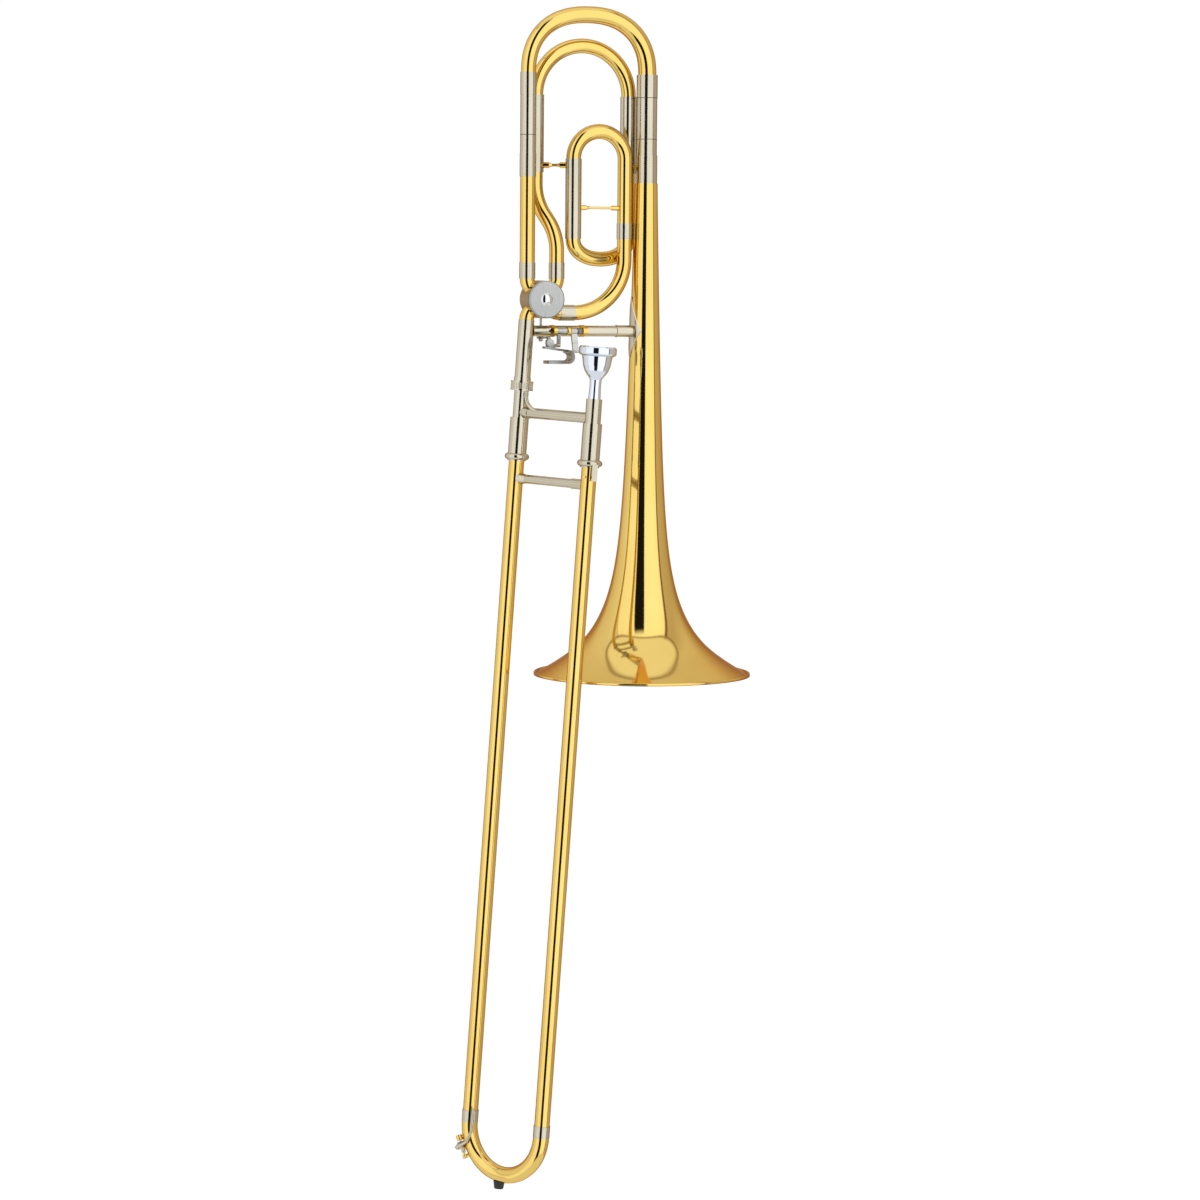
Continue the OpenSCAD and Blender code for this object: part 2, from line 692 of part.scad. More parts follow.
// Thumb plate: the sloping bar that carries the screw, and the plate that curls back under it
module thumb_plate() {
    curl = [-91, (plate_bar_z - 0.2 + plate_z) / 2];
    curl_r = (plate_bar_z - 0.2 - plate_z) / 2;
    left_x = -112;
    plate_t = 3.2;
    color(silver) difference() {
        union() {
            plate_y(-27, 17) polygon(concat(
                arc(curl, curl_r + plate_t / 2, 90, -90, 20),
                [[left_x, plate_z - plate_t / 2], [left_x, plate_z + plate_t / 2]],
                arc(curl, curl_r - plate_t / 2, -90, 90, 20)));
            plate_y(-21, 8.5) polygon([
                [-80, plate_bar_z + 0.3], [-80, plate_bar_z - 1.9], [-114, 331], [-114, 333]]);
            translate([screw_x - 2.4, -17.6, 331]) cube([4.8, 3.2, 8.4]);
        }
        translate([screw_x, 0, screw_z]) rotate([90, 0, 0]) cylinder(r = 1.5 + fit, h = 40);
    }
}

module lever_spring() {
    turns = 5;
    first_x = -76.1;
    pitch = 1.1;
    color(silver) for (i = [0 : turns - 1])
        translate([first_x + i * pitch, hinge_y, brace_z]) rotate([0, 90, 0])
            rotate_extrude() translate([3, 0]) circle(r = 0.5, $fn = 24);
}

module thumb_screw() {
    color(silver) translate([screw_x, 0, screw_z]) rotate([90, 0, 0]) {
        translate([0, 0, 12.5]) cylinder(r = 1.5, h = 9);
        difference() {
            translate([0, 0, 18.4]) cylinder(r = 4.1, h = 4.6);
            for (a = [0 : 20 : 340])
                rotate([0, 0, a]) translate([4.35, 0, 18]) cylinder(r = 0.45, h = 6, $fn = 16);
        }
    }
}

// ---------------------------------------------------------------- inner hand slide

module lock_nut() {
    ribs = 36;
    color(nickel) slide_frame() difference() {
        at_s(nut_s + 11.2) cylinder(r = 11.2, h = 9.4);
        at_s(nut_s + 8) cylinder(r = 8.4 + fit, h = 9);
        at_s(nut_s + 14) cylinder(r = inner_r + fit, h = 16);
        for (i = [0 : ribs - 1])
            rotate([0, 0, i * 360 / ribs]) translate([11.45, 0, -nut_s - 9.7])
                cylinder(r = 0.55, h = 6.4, $fn = 16);
    }
}

module slide_tenon() {
    color(nickel) slide_frame() slide_tube(tenon_s, barrel_s, inner_r - fit, bore_r - 0.15);
}

// Handle bar between the two inner tubes, with its gusset up to the lock nut
module upper_crossbar() {
    bar_r = 5.2;
    gusset = [8.5, -3];
    gusset_r = 16;
    turn_s = bar_s - 2.5 - gusset_r;
    post_s = nut_s + 12;
    color(nickel) slide_frame() difference() {
        union() {
            at_s(bar_s) rotate([0, 90, 0]) cylinder(r = bar_r, h = slide_w);
            at_s(bar_s, 4) rotate([0, 90, 0]) cylinder(r = bar_r + 0.6, h = 8);
            translate([gusset[0], gusset[1], -turn_s]) {
                mirror([0, 0, 1]) bar_bend(gusset_r, 90, 1.9);
                cylinder(r = 1.9, h = turn_s - post_s);
            }
            translate([gusset[0], gusset[1], -post_s - 3.1])
                rotate_extrude() translate([1.7, 0]) circle(r = 0.9, $fn = 24);
        }
        at_s(bar_s + 12) cylinder(r = inner_r - fit, h = 40);
        at_s(bar_s + 12, slide_w) cylinder(r = 7.8, h = 40);
    }
}

// The two cork barrels; the long one ends in a beaded ring
module cork_barrels() {
    color(nickel) slide_frame() for (p = [[0, long_barrel_r], [slide_w, short_barrel_r]]) difference() {
        union() {
            at_s(barrel_end_s, p[0]) cylinder(r = p[1], h = barrel_end_s - barrel_s);
            if (p[0] == 0)
                at_s(ring_s) rotate_extrude() translate([p[1] - 0.1, 0]) circle(r = bead_r, $fn = 40);
        }
        at_s(barrel_end_s + 1, p[0]) cylinder(r = outer_r + 0.35, h = barrel_end_s - barrel_s - 3);
        at_s(barrel_end_s + 1, p[0]) cylinder(r = inner_r, h = 90);
    }
}

module mouthpiece_receiver() {
    color(nickel) slide_frame() slide_tube(mouth_s, barrel_s, 7.9, 6.3, slide_w);
}

// The two inner tubes, each with its thicker stocking at the far end
module inner_tubes() {
    stocking = 90;
    color(silver) slide_frame() for (x = [0, slide_w]) {
        slide_tube(barrel_s, inner_end_s - stocking, inner_r, bore_r, x);
        slide_tube(inner_end_s - stocking, inner_end_s, inner_r + 0.12, bore_r, x);
    }
}

// Beaded ring that turns on the short tube's barrel, with the hook that holds the closed slide
module slide_lock_ring() {
    hook_out = 12.2;
    hook_in = 10.6;
    toe_in = 8.85;
    toe_s = 156.6;
    hook_end_s = 158.5;
    hook_w = 6;
    color(nickel) slide_frame() translate([slide_w, 0, 0]) difference() {
        union() {
            at_s(ring_s) rotate_extrude() translate([short_barrel_r - 0.1, 0]) circle(r = bead_r, $fn = 40);
            rotate([0, 0, hook_turn]) {
                translate([hook_in, -hook_w / 2, -hook_end_s])
                    cube([hook_out - hook_in, hook_w, hook_end_s - ring_s]);
                translate([toe_in, -hook_w / 2, -hook_end_s])
                    cube([hook_out - toe_in, hook_w, hook_end_s - toe_s]);
            }
        }
        at_s(ring_s + 10) cylinder(r = short_barrel_r + fit, h = 10 + 10);
    }
}

// ---------------------------------------------------------------- mouthpiece

module mouthpiece() {
    rim_r = mouth_d / 2;
    rim_s = 26.2;        // station of the rim's face
    shank_end_s = 101;
    outline = [
        [12.6, 0], [rim_r - 1.6, 0], [rim_r, 1.6], [rim_r, 7.2], [rim_r - 0.8, 8.4], [rim_r - 3.6, 9.8],
        [rim_r - 4.3, 14], [rim_r - 5.1, 19], [rim_r - 6.8, 24], [rim_r - 9.4, 28], [7.2, 30.4],
        [5.9, 33], [5.7, 40], [6.2, mouth_s - rim_s], [6.22, mouth_s - rim_s + 3],
        [5.6, shank_end_s - rim_s], [4.6, shank_end_s - rim_s], [3.4, 33],
        [4.6, 25.5], [8.4, 19.5], [10.9, 12], [12.2, 5.5], [12.8, 2]
    ];
    color(silver) slide_frame() at_s(rim_s, slide_w) mirror([0, 0, 1]) rotate_extrude() polygon(outline);
}

// ---------------------------------------------------------------- outer hand slide

// One outer tube at x, from inside its barrel to the end bow
module outer_tube(x) {
    color(brass) slide_frame() slide_tube(outer_top_s, bow_s - 12, outer_r, inner_r + 0.18, x);
}

module outer_tube_long() {
    outer_tube(0);
}

module outer_tube_short() {
    outer_tube(slide_w);
    color(brass) slide_frame() at_s(stud_s, slide_w) rotate([0, 0, stud_turn]) rotate([0, 90, 0])
        translate([0, 0, outer_r - 0.3]) cylinder(r = 1.3, h = 2.7);
}

// Bar between the two outer tubes, with a spreading foot at one end and a collar at the other
module outer_crossbar() {
    bar_r = 4.4;
    color(nickel) slide_frame() difference() {
        union() {
            at_s(low_bar_s) rotate([0, 90, 0]) cylinder(r = bar_r, h = slide_w);
            at_s(low_bar_s) rotate([0, 90, 0]) translate([0, 0, 5]) cylinder(r1 = 6.2, r2 = bar_r, h = 9);
            at_s(low_bar_s, slide_w - 20) rotate([0, 90, 0]) cylinder(r = bar_r + 0.7, h = 20);
        }
        for (x = [0, slide_w]) at_s(low_bar_s + 12, x) cylinder(r = outer_r, h = 24);
    }
}

module end_bow_ferrules() {
    color(nickel) slide_frame() for (x = [0, slide_w]) slide_tube(bow_s - 12, bow_s, 8.35, inner_r + 0.18, x);
}

module end_bow() {
    color(brass) slide_frame() at_s(bow_s) mirror([0, 0, 1]) bend(bow_r, 180, bow_wall_r, inner_r + 0.18);
}

// Rubber tip under the end bow
module slide_bumper() {
    tip_s = bow_s + bow_r + bow_wall_r + 6.5;
    off = -3;            // a little towards the long tube
    color(rubber) slide_frame() difference() {
        at_s(tip_s, bow_r + off) cylinder(r1 = 4.6, r2 = 5.9, h = 8);
        at_s(bow_s) mirror([0, 0, 1]) bar_bend(bow_r, 180, bow_wall_r);
    }
}

// The frame of the water key, turned about the long tube
module key_frame() {
    slide_frame() rotate([0, 0, key_turn]) children();
}

// A point of the water key, s below the end bow's spring line
function key_at(x, y, s) = [x, y, -bow_s - s];

post_high = key_at(-9.2, -2.4, 17);
post_low = key_at(-2.2, -8, 34.5);
pin_way = (post_low - post_high) / norm(post_low - post_high);
key_mid = post_high + 10.1 * pin_way;
nipple_root = key_at(4, 0.5, 27);
nipple_out = [-0.98, 0.2, 0];
nipple_h = 12.6;

// Drain nipple, and the two ball posts with the key's pin, soldered to the end bow
module water_key_nipple() {
    color(brass) difference() {
        key_frame() union() {
            rod(nipple_root, nipple_root + nipple_h * nipple_out, 2.8);
            rod(post_high, key_at(2.3, -1.8, 16), 2);
            rod(post_low, key_at(8.5, -6.6, 30), 1.8);
            rod(post_high - 2.6 * pin_way, post_high + 2.6 * pin_way, 3.2);
            rod(post_low - 2 * pin_way, post_low + 2 * pin_way, 2.4);
            rod(post_high, post_low, 1.1);
        }
        slide_frame() at_s(bow_s) mirror([0, 0, 1]) bar_bend(bow_r, 100, bow_wall_r - 0.05);
        key_frame() rod(nipple_root, nipple_root + 30 * nipple_out, 1.5);
    }
}

// Water key: barrel on the pin, finger lever up the tube and a padded cup over the nipple
module water_key() {
    cup = nipple_root + (nipple_h + 0.4) * nipple_out;
    wire_r = 1.5;
    color(nickel) key_frame() difference() {
        union() {
            rod(post_high + 4 * pin_way, post_high + 15.6 * pin_way, 2);
            wire([cup + 2 * nipple_out, key_at(-11.6, -6, 26.6), key_at(-1.6, -12.2, 18.5),
                key_at(2.2, -13.4, 8), key_at(2.9, -14, -14.5)], wire_r);
            rod(key_mid, key_at(-5.6, -9.4, 22.4), 1.3);
            rod(cup, cup + 2.4 * nipple_out, 3.8);
        }
        rod(post_high - 5 * pin_way, post_low + 5 * pin_way, 1.1 + fit);
        for (press = [0, 4, 8.5])
            translate(post_high) rotate(a = press, v = pin_way) translate(-post_high)
                rotate([0, 0, -key_turn]) at_s(bow_s) mirror([0, 0, 1]) bar_bend(bow_r, 180, bow_wall_r + 0.3);
    }
}

module water_key_spring() {
    color(brass) key_frame() for (i = [0 : 2]) {
        mid = post_high + (4.5 + i * 1.05) * pin_way;
        translate(mid) rotate([0, acos(pin_way[2]), atan2(pin_way[1], pin_way[0])])
            rotate_extrude() translate([2.7, 0]) circle(r = 0.35, $fn = 20);
    }
}

bell();
bell_stem();
bell_rim();
bell_leg();
bell_ferrule();
gooseneck();
neck_leg();
neck_upper_ferrule();
neck_lower_ferrule();
rotor_casing();
valve_cap();
valve_bearing_plate();
stop_corks();
neck_knuckle();
slide_knuckle();
f_upper_knuckle();
f_lower_knuckle();
f_port_ferrules();
f_crook();
f_outer_legs();
f_down_tube();
loop_top_bow();
loop_sleeve();
loop_tube();
loop_ferrules();
bottom_bow();
quarter_bow();
wrap_braces();
slide_receiver();
bell_brace();
bell_flange();
lever_saddle();
main_bow();
main_slide_legs();
f_bow();
f_slide_legs();
rotor();
stop_arm();
valve_link();
thumb_lever();
thumb_plate();
lever_spring();
thumb_screw();
lock_nut();
slide_tenon();
upper_crossbar();
cork_barrels();
mouthpiece_receiver();
inner_tubes();
slide_lock_ring();
mouthpiece();
outer_tube_long();
outer_tube_short();
outer_crossbar();
end_bow();
end_bow_ferrules();
slide_bumper();
water_key_nipple();
water_key();
water_key_spring();
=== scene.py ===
import json
import math

import bmesh
import bpy
from mathutils import Matrix, Vector


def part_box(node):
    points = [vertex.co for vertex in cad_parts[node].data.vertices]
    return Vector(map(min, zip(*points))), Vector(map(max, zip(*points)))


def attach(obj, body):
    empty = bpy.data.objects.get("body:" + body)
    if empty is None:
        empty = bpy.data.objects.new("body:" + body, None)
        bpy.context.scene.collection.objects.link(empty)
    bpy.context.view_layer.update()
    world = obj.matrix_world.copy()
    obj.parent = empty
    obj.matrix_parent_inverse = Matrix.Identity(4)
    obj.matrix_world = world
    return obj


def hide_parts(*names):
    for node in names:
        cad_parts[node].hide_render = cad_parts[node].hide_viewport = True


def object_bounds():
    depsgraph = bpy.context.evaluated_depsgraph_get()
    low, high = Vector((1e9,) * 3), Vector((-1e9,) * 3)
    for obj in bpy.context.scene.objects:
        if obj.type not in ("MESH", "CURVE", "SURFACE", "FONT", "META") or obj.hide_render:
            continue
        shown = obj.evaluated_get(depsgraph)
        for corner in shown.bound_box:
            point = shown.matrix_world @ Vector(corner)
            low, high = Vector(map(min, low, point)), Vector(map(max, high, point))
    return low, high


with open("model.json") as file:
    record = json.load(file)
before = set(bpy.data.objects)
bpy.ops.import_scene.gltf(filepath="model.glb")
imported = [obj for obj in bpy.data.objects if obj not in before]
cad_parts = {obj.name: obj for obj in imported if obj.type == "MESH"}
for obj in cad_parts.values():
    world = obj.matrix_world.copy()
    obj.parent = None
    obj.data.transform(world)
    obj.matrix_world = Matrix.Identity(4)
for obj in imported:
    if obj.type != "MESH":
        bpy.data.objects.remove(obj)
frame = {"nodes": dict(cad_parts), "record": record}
cad_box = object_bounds()
MM = 0.001
ACROSS = Vector((1, 0, 0))
DEEP = Vector((0, 1, 0))
UP = Vector((0, 0, 1))


def joint(name):
    """A joint's row in the record, with its axis, place and range."""
    return next(row for row in frame["record"]["behaviour"]["joints"] if row["name"] == name)


def body_of(node):
    """The body that a CAD node rides on."""
    return next(name for name, nodes in frame["record"]["behaviour"]["bodies"].items() if node in nodes)


# ---------------------------------------------------------------- camera
YAW = math.radians(-20.35)
PITCH = math.radians(5.07)  # downwards
ROLL = math.radians(0.48)
EYE = Vector((-1.3661, -3.5596, 0.4139))
LENS = 113.2  # focal length and sensor width in millimetres
SENSOR = 36.0

level_right = Vector((math.cos(YAW), math.sin(YAW), 0))
level_front = Vector((-math.sin(YAW), math.cos(YAW), 0))
front = level_front * math.cos(PITCH) - UP * math.sin(PITCH)
raised = UP * math.cos(PITCH) + level_front * math.sin(PITCH)
right = level_right * math.cos(ROLL) + raised * math.sin(ROLL)
top = raised * math.cos(ROLL) - level_right * math.sin(ROLL)

cam = bpy.data.objects.new("camera", bpy.data.cameras.new("camera"))
bpy.context.scene.collection.objects.link(cam)
cam.data.sensor_width = SENSOR
cam.data.lens = LENS
cam.data.clip_end = 60.0
cam.matrix_world = Matrix((
    (right.x, top.x, -front.x, EYE.x),
    (right.y, top.y, -front.y, EYE.y),
    (right.z, top.z, -front.z, EYE.z),
    (0, 0, 0, 1)))
bpy.context.scene.camera = cam
bpy.context.scene.view_settings.view_transform = "Standard"


# ---------------------------------------------------------------- shader node helpers
class Tree:
    """Short ways to add and link shader nodes."""

    def __init__(self, tree):
        self.tree = tree
        tree.nodes.clear()

    def add(self, kind, inputs=None, **settings):
        node = self.tree.nodes.new(kind)
        for key, value in settings.items():
            setattr(node, key, value)
        for key, value in (inputs or {}).items():
            self.put(node.inputs[key], value)
        return node

    def put(self, socket, value):
        """Link a node or an output to the socket, or set a plain value on it."""
        if isinstance(value, bpy.types.Node):
            value = value.outputs[0]
        if isinstance(value, bpy.types.NodeSocket):
            self.tree.links.new(value, socket)
        else:
            socket.default_value = value

    def math(self, operation, a, b=0.0):
        return self.add("ShaderNodeMath", {0: a, 1: b}, operation=operation)

    def vector(self, operation, a, b=(0, 0, 0)):
        return self.add("ShaderNodeVectorMath", {0: a, 1: b}, operation=operation)

    def mix(self, factor, a, b):
        """Colour a, turning into colour b. A colour is an output or (red, green, blue)."""
        node = self.add("ShaderNodeMix", data_type="RGBA")
        self.put(node.inputs[0], factor)
        for socket, colour in ((node.inputs[6], a), (node.inputs[7], b)):
            self.put(socket, (*colour, 1) if isinstance(colour, tuple) else colour)
        return node.outputs[2]

    def spread(self, value, low, high, to_low, to_high):
        """The range low to high, taken to the range to_low to to_high and held there outside it."""
        return self.add("ShaderNodeMapRange", {
            "Value": value, "From Min": low, "From Max": high, "To Min": to_low, "To Max": to_high})

    def ramp(self, value, stops):
        node = self.add("ShaderNodeValToRGB", {"Fac": value})
        elements = node.color_ramp.elements
        while len(elements) < len(stops):
            elements.new(0.5)
        for element, (place, colour) in zip(elements, stops):
            element.position = place
            element.color = (*colour, 1)
        return node

    def noise(self, where, scale, detail, rough=0.5):
        return self.add("ShaderNodeTexNoise", {
            "Vector": where, "Scale": scale, "Detail": detail, "Roughness": rough}).outputs["Fac"]


def grey(level, warmth=0.0):
    return (level, level * (1 - 0.45 * warmth), level * (1 - 0.85 * warmth))


# ---------------------------------------------------------------- light
# A white tent for the metal to mirror, with a dark opening beside the camera. Angles are in degrees
# to the right of the way to the camera. Heights are those of a unit direction: 0 level, 1 straight up.
TENT = [
    (-180, grey(0.45, 0.7)),
    (-146, grey(0.50, 0.6)),
    (-128, grey(0.85, 0.15)),
    (-81, grey(1.00)),
    (-78, grey(0.70, 0.3)),
    (-75, grey(1.20)),
    (-27, grey(1.28)),
    (0, grey(1.32)),
    (45, grey(1.42)),
    (70, grey(1.30)),
    (72, grey(0.22, 0.6)),
    (77, grey(0.22, 0.6)),
    (79, grey(0.68, 0.3)),
    (124, grey(0.62, 0.35)),
    (146, grey(0.45, 0.6)),
    (180, grey(0.45, 0.7)),
]
BEHIND = (95, 125)  # over these angles to either side, and these heights, the tent turns paler
HIGH = (0.2, 0.6)
PALER = 0.8  # the paler light's share
GAP = (-26, 6)  # the dark opening
GAP_EDGE = 1
GAP_TOP = math.sin(math.radians(58))
GAP_FADE = (GAP_TOP - 0.02, GAP_TOP + 0.04)
SAG = 0.32  # how much lower the ceiling reaches at the sides
SEAM = (0.900, 0.915, 0.935)  # heights where the ceiling's seam starts, is darkest and ends
GROUND = (-0.66, -0.60)  # the ground's light below the first height, the tent's above the second

world = bpy.data.worlds.new("tent")
bpy.context.scene.world = world
world.use_nodes = True
t = Tree(world.node_tree)
way = t.add("ShaderNodeTexCoord").outputs["Generated"]
height = t.add("ShaderNodeSeparateXYZ", {0: way}).outputs["Z"]
along_right = t.vector("DOT_PRODUCT", way, level_right).outputs["Value"]
to_camera = t.vector("DOT_PRODUCT", way, -level_front).outputs["Value"]
turn = t.math("ARCTAN2", along_right, to_camera)
share = t.spread(turn, -math.pi, math.pi, 0, 1)
round_the_tent = t.ramp(share, [((degrees + 180) / 360, light) for degrees, light in TENT])

gap_left = t.spread(turn, math.radians(GAP[0] - GAP_EDGE), math.radians(GAP[0] + GAP_EDGE), 0, 1)
gap_right = t.spread(turn, math.radians(GAP[1] - GAP_EDGE), math.radians(GAP[1] + GAP_EDGE), 1, 0)
gap = t.math("MULTIPLY", gap_left, gap_right)
gap = t.math("MULTIPLY", gap, t.spread(height, *GAP_FADE, 1, 0))
overhead = t.math("ADD", height, t.math("MULTIPLY", t.math("MULTIPLY", along_right, along_right), SAG))
ceiling = t.spread(overhead, SEAM[1], SEAM[2], 0, 1)
seam_start = t.spread(overhead, SEAM[0], SEAM[1], 0, 1)
seam_end = t.spread(overhead, SEAM[1], SEAM[2], 1, 0)
seam = t.math("MULTIPLY", seam_start, seam_end)
below = t.spread(height, *GROUND, 1, 0)
higher = t.spread(height, *HIGH, 0, PALER)
behind = t.spread(t.math("ABSOLUTE", turn), math.radians(BEHIND[0]), math.radians(BEHIND[1]), 0, 1)

colour = t.mix(t.math("MULTIPLY", higher, behind), round_the_tent.outputs[0], grey(0.92, 0.1))
colour = t.mix(gap, colour, grey(0.012))
colour = t.mix(seam, colour, grey(0.36, 0.5))
colour = t.mix(ceiling, colour, grey(1.08))
colour = t.mix(below, colour, grey(0.95))
# The tent's shape is only for the polished metal to mirror: the camera and dull surfaces see plain white.
ray = t.add("ShaderNodeLightPath")
plain = t.math("MAXIMUM", ray.outputs["Is Camera Ray"], ray.outputs["Is Diffuse Ray"])
colour = t.mix(plain, colour, grey(1.02))
t.add("ShaderNodeOutputWorld", {0: t.add("ShaderNodeBackground", {"Color": colour, "Strength": 1.0})})

# ---------------------------------------------------------------- materials
SPECK = 420.0  # how fine the metal's specks, buffing marks, waves and grain are, in noise cells per metre
RUB = 900.0
WAVE = 34.0
GRAIN = 1500.0
GRAIN_DEPTH = 0.0000004
RUB_STRETCH = (1, 1, 0.06)  # the buffing marks run up and down
HUB_EDGE = 0.3 * MM


def material(name):
    """A new material, its node tree, and the object's own coordinates in it."""
    mat = bpy.data.materials.new(name)
    mat.use_nodes = True
    tree = Tree(mat.node_tree)
    return mat, tree, tree.add("ShaderNodeTexCoord").outputs["Object"]


def metal(name, light, dark, rough, edge=(1, 1, 1), coat=0.0, peel=0.00002, patches=9.0, hub=None):
    """Polished metal: patchy colour, fine buffing marks, and the slight waviness of a drawn tube.

    light and dark are its two colours and edge its tint at a grazing angle. coat is its lacquer's weight,
    peel the height of its waves, and patches the number of its patches of colour to the metre. hub is a
    mirror-bright spot on a satin part, as (x, z, radius).
    """
    mat, t, where = material(name)
    patch = t.noise(where, patches, 3.0, 0.55)
    speck = t.noise(where, SPECK, 2.0, 0.6)
    rub = t.noise(t.vector("MULTIPLY", where, RUB_STRETCH), RUB, 2.0, 0.6)
    tint = t.mix(t.spread(patch, 0.35, 0.68, 0, 1), light, dark)
    tint = t.mix(t.spread(speck, 0.68, 0.84, 0, 0.12), tint, tuple(0.8 * v for v in dark))
    buffed = t.spread(rub, 0.3, 0.7, -0.2 * rough, 0.25 * rough)
    wear = t.math("ADD", buffed, t.spread(patch, 0.3, 0.7, 0.85 * rough, 1.15 * rough))
    if hub:
        hub_x, hub_z, hub_r = hub
        off = t.vector("SUBTRACT", where, (hub_x, 0, hub_z))
        reach = t.vector("LENGTH", t.vector("MULTIPLY", off, (1, 0, 1))).outputs["Value"]
        bright = t.spread(reach, hub_r, hub_r + HUB_EDGE, 1, 0)
        wear = t.math("MULTIPLY", wear, t.spread(bright, 0, 1, 1, 0.15))
        tint = t.mix(bright, tint, (0.72, 0.73, 0.74))
    wave = t.math("MULTIPLY", t.noise(where, WAVE, 1.0, 0.4), peel)
    grain = t.math("MULTIPLY", t.noise(where, GRAIN, 1.0), GRAIN_DEPTH)
    bump = t.add("ShaderNodeBump", {"Height": t.math("ADD", wave, grain), "Strength": 1.0, "Distance": 1.0})
    shader = t.add("ShaderNodeBsdfPrincipled", {
        "Base Color": tint, "Metallic": 1.0, "Roughness": wear, "Normal": bump, "Specular Tint": (*edge, 1),
        "Coat Weight": coat, "Coat Roughness": 0.04, "Coat IOR": 1.5, "Coat Tint": (1, 0.88, 0.66, 1)})
    t.add("ShaderNodeOutputMaterial", {0: shader})
    return mat


def dull(name, light, dark, rough, scale, depth):
    """A matt material, darker in the hollows of its grain, which is scale to the metre and depth deep."""
    mat, t, where = material(name)
    grain = t.noise(where, scale, 5.0, 0.65)
    tint = t.mix(t.spread(grain, 0.35, 0.65, 0, 1), dark, light)
    bump = t.add("ShaderNodeBump", {"Height": grain, "Strength": 0.6, "Distance": depth})
    shader = t.add("ShaderNodeBsdfPrincipled", {
        "Base Color": tint, "Normal": bump,
        "Roughness": t.spread(grain, 0.3, 0.7, rough - 0.08, rough + 0.1)})
    t.add("ShaderNodeOutputMaterial", {0: shader})
    return mat


FINISH = {
    "brass_lacquer": metal(
        "lacquered_brass", (0.80, 0.615, 0.195), (0.76, 0.56, 0.16), 0.07,
        edge=(0.86, 0.52, 0.26), coat=0.35, peel=0.000026),
    "nickel_silver": metal(
        "nickel_silver", (0.595, 0.555, 0.445), (0.53, 0.49, 0.385), 0.12, edge=(0.8, 0.7, 0.55)),
    "silver_plate": metal(
        "silver_plate", (0.73, 0.78, 0.86), (0.68, 0.73, 0.81), 0.06, edge=(0.85, 0.85, 0.85)),
    "spring_wire": metal("spring_wire", (0.42, 0.42, 0.41), (0.34, 0.34, 0.33), 0.22, peel=0.0),
    "rubber": dull("black_rubber", (0.022, 0.022, 0.024), (0.012, 0.012, 0.013), 0.55, 1200.0, 0.0002),
    "cork": dull("cork", (0.47, 0.30, 0.16), (0.26, 0.15, 0.08), 0.8, 700.0, 0.0005),
}
worn_plate = metal(
    "worn_silver", (0.50, 0.51, 0.475), (0.42, 0.43, 0.40), 0.20, edge=(0.7, 0.7, 0.66), patches=60.0)
# Painted shade: a near-black metal for the rings in the main slide's seams, standing in for the shade that
# falls in the crevices between sleeves.
painted_joint_shade = metal("painted_joint_shadow", (0.10, 0.085, 0.06), (0.07, 0.06, 0.045), 0.4)

HUB_R = 6.1 * MM
lo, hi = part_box("valve_cap")
cap_metal = metal(
    "satin_cap", (0.47, 0.48, 0.475), (0.43, 0.44, 0.435), 0.36, edge=(0.8, 0.8, 0.8),
    hub=((lo.x + hi.x) / 2, (lo.z + hi.z) / 2, HUB_R))

SPECIAL = {"valve_link": worn_plate, "thumb_lever": worn_plate, "thumb_plate": worn_plate,
           "thumb_screw": worn_plate, "valve_cap": cap_metal}
for part in frame["record"]["subparts"]:
    mesh = frame["nodes"][part["node"]].data
    mesh.materials.clear()
    mesh.materials.append(SPECIAL.get(part["node"], FINISH[part["material_slot"]]))

# ---------------------------------------------------------------- smooth tubes, coils and rings
SHARP = math.radians(40)  # edges sharper than this stay crisp


def tube(name, rings, wall, slot, node, finish=None, replace=True, sides=48):
    """A tube on the node's body, through rings of (centre, outward, sideways, radius).

    It is open at its ends and wall thick. Its finish is the slot's, unless another is given.
    """
    verts = []
    for centre, out, side, radius in rings:
        for r in (radius, radius - wall):
            for k in range(sides):
                a = 2 * math.pi * k / sides
                verts.append(centre + out * (r * math.cos(a)) + side * (r * math.sin(a)))
    faces = []
    for i in range(len(rings) - 1):
        here, there = 2 * sides * i, 2 * sides * (i + 1)
        for k in range(sides):
            n = (k + 1) % sides
            faces.append((here + k, here + n, there + n, there + k))
            faces.append((here + sides + n, here + sides + k, there + sides + k, there + sides + n))
    last = 2 * sides * (len(rings) - 1)
    for k in range(sides):
        n = (k + 1) % sides
        faces.append((n, k, sides + k, sides + n))
        faces.append((last + k, last + n, last + sides + n, last + sides + k))
    mesh = bpy.data.meshes.new(name)
    mesh.from_pydata(verts, [], faces)
    mesh.materials.append(finish or FINISH[slot])
    fixer = bmesh.new()
    fixer.from_mesh(mesh)
    bmesh.ops.recalc_face_normals(fixer, faces=fixer.faces)
    fixer.to_mesh(mesh)
    fixer.free()
    for face in mesh.polygons:
        face.use_smooth = True
    mesh.set_sharp_from_angle(angle=SHARP)
    piece = bpy.data.objects.new(name, mesh)
    bpy.context.scene.collection.objects.link(piece)
    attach(piece, body_of(node))
    if replace:
        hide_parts(node)


# The bell's outline, in millimetres: a slow cone from the tail, a swell above the lip and a horn flare
BELL_MOUTH_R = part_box("bell")[1].x / MM
BELL_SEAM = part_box("bell")[1].z / MM
BELL_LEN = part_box("bell_stem")[1].z / MM
BELL_TAIL_R = 11.45
BELL_WALL = 0.9
CONE_GROWTH = 2.15  # what the cone's radius gains in the first 100 mm from the tail
CONE_POWER = 1.14
SWELL = 1.5
SWELL_Z = 13  # height of the swell, and the distance over which it fades
FLARE_LEN = 400  # the flare fades up the bell with this power of 1 + z / FLARE_LEN
FLARE_POWER = -10
RING_POWER = 2.6  # above 1, this sets the rings closer together near the mouth


